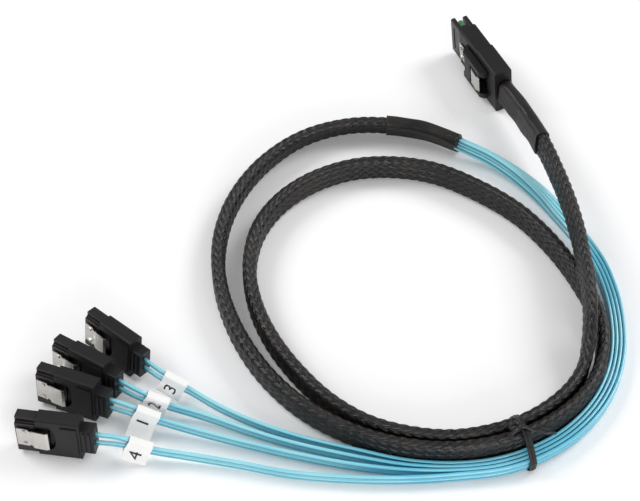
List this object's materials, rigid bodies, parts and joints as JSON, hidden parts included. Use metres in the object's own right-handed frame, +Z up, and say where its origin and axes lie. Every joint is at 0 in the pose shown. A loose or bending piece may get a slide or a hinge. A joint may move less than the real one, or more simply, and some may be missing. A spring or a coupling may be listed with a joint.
{
  "type": "mini sas breakout cable",
  "caption": "Coiled internal breakout cable: one wide latched data plug, a braided trunk and four thin legs with small latched data plugs.",
  "frame": {"origin": "on the bench, under the middle of the box round the five plugs", "axes": "+Z up from the bench; +Y across the coil, away from the viewer, towards the wide plug; +X to the viewer's right"},
  "size_m": [0.1831, 0.1873, 0.0193],
  "materials": {
    "black_nylon": "moulded, fine matte",
    "black_hood": "moulded, satin",
    "spring_metal": "stamped and bright",
    "gold_contact": "gold plated",
    "board_green": "solder mask",
    "black_braid": "braided flat monofilament, glossy strands",
    "heat_shrink": "shrunk tubing, satin",
    "wire_blue": "translucent jacket, glossy",
    "paper": "paper label",
    "tie_plastic": "plastic-coated wire"
  },
  "bodies": {
    "root": {"sas_nose_frame": "black_nylon", "sas_paddle_board": "board_green", "sas_cover": "black_hood", "sas_latch_guard": "black_hood", "sata_nose_4": "black_nylon", "sata_hood_4": "black_hood", "sata_contacts_4": "gold_contact", "sata_nose_1": "black_nylon", "sata_hood_1": "black_hood", "sata_contacts_1": "gold_contact", "sata_nose_2": "black_nylon", "sata_hood_2": "black_hood", "sata_contacts_2": "gold_contact", "sata_nose_3": "black_nylon", "sata_hood_3": "black_hood", "sata_contacts_3": "gold_contact", "braided_sleeve": "black_braid", "plug_heat_shrink": "heat_shrink", "split_heat_shrink": "heat_shrink", "leg_4_wire_1": "wire_blue", "leg_4_wire_2": "wire_blue", "leg_1_wire_1": "wire_blue", "leg_1_wire_2": "wire_blue", "leg_2_wire_1": "wire_blue", "leg_2_wire_2": "wire_blue", "leg_3_wire_1": "wire_blue", "leg_3_wire_2": "wire_blue", "label_4": "paper", "label_1": "paper", "label_2": "paper", "label_3": "paper", "twist_tie": "tie_plastic"},
    "sas_latch": {"sas_latch_leaf": "spring_metal"},
    "sata_latch_body_4": {"sata_latch_4": "spring_metal"},
    "sata_latch_body_1": {"sata_latch_1": "spring_metal"},
    "sata_latch_body_2": {"sata_latch_2": "spring_metal"},
    "sata_latch_body_3": {"sata_latch_3": "spring_metal"}
  },
  "joints": [
    {"name": "sas_latch_press", "type": "hinge", "parent": "root", "child": "sas_latch", "pos_m": [0.06091, 0.07948, 0.00916], "axis": [-0.1281, -0.0544, 0.9903], "range_deg": [0, 3], "stiffness_Nm_per_rad": 0.06},
    {"name": "sata_latch_4_press", "type": "hinge", "parent": "root", "child": "sata_latch_body_4", "pos_m": [-0.07807, -0.08579, 0.00783], "axis": [0.0242, 0.172, 0.9848], "range_deg": [0, 4], "stiffness_Nm_per_rad": 0.02},
    {"name": "sata_latch_1_press", "type": "hinge", "parent": "root", "child": "sata_latch_body_1", "pos_m": [-0.07458, -0.06917, 0.00788], "axis": [0.0653, 0.1793, 0.9816], "range_deg": [0, 4], "stiffness_Nm_per_rad": 0.02},
    {"name": "sata_latch_2_press", "type": "hinge", "parent": "root", "child": "sata_latch_body_2", "pos_m": [-0.07129, -0.05867, 0.00788], "axis": [0.0954, 0.1652, 0.9816], "range_deg": [0, 4], "stiffness_Nm_per_rad": 0.02},
    {"name": "sata_latch_3_press", "type": "hinge", "parent": "root", "child": "sata_latch_body_3", "pos_m": [-0.06272, -0.04813, 0.00788], "axis": [0.1188, 0.1493, 0.9816], "range_deg": [0, 4], "stiffness_Nm_per_rad": 0.02}
  ]
}
